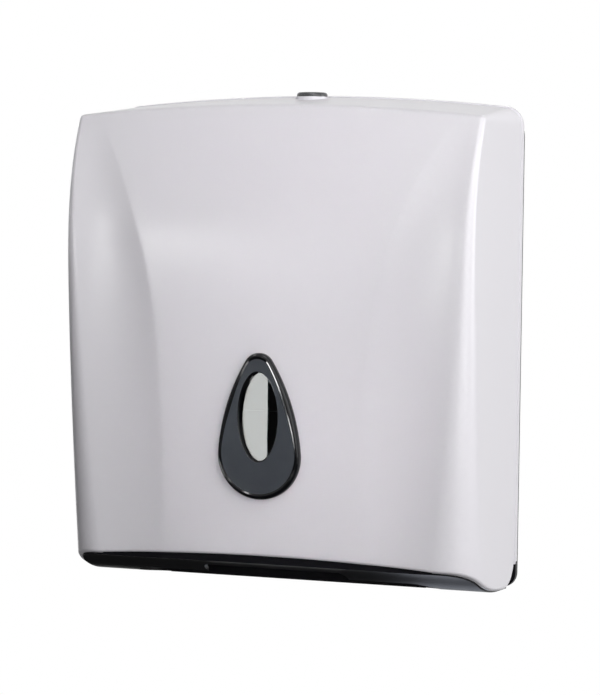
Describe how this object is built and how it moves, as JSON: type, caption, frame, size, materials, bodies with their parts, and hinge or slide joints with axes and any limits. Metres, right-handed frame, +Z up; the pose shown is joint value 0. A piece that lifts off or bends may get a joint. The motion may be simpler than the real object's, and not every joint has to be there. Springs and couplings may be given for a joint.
{
  "type": "paper towel dispenser",
  "caption": "Wall-mounted folded paper towel dispenser: arched white hinged cover with a teardrop level window, charcoal back plate, bottom tray with a pull slot, and a top cam lock.",
  "frame": {"origin": "centre of the four-hole wall screw pattern, on the back plate's wall face", "axes": "+Z up, +Y into the wall, +X to the right as the dispenser is faced"},
  "size_m": [0.264, 0.0945, 0.2973],
  "materials": {
    "charcoal_abs": "fine moulded grain",
    "white_abs": "pearly gloss",
    "smoke_bezel": "polished, smoke grey",
    "clear_lens": "clear polished plate",
    "black_plastic": "gloss black",
    "lock_plastic": "dark grey, satin gloss",
    "zinc": "die-cast, dull plated",
    "plated_steel": "zinc plated"
  },
  "bodies": {
    "chassis": {"back_plate": "charcoal_abs", "dispensing_tray": "charcoal_abs", "tray_screws": "plated_steel", "towel_guide_left": "charcoal_abs", "towel_guide_right": "charcoal_abs", "hinge_pin_left": "plated_steel", "hinge_pin_right": "plated_steel", "hinge_clip_left": "plated_steel", "hinge_clip_right": "plated_steel", "strike_plate": "plated_steel", "strike_screws": "plated_steel"},
    "cover": {"cover_shell": "white_abs", "window_bezel": "smoke_bezel", "window_lens": "clear_lens", "window_lens_ring": "black_plastic", "window_push_nuts": "plated_steel", "lock_housing": "lock_plastic", "lock_washer": "plated_steel", "lock_nut": "black_plastic"},
    "lock_rotor": {"lock_barrel": "zinc", "lock_retaining_clip": "plated_steel", "lock_cam": "plated_steel", "lock_cam_screw": "plated_steel"}
  },
  "joints": [
    {"name": "cover_swing", "type": "hinge", "parent": "chassis", "child": "cover", "pos_m": [0, -0.021, -0.133], "axis": [1, 0, 0], "range_deg": [0, 90]},
    {"name": "lock_turn", "type": "hinge", "parent": "cover", "child": "lock_rotor", "pos_m": [0, -0.0145, 0.13], "axis": [0, 0, -1], "range_deg": [0, 90]}
  ]
}
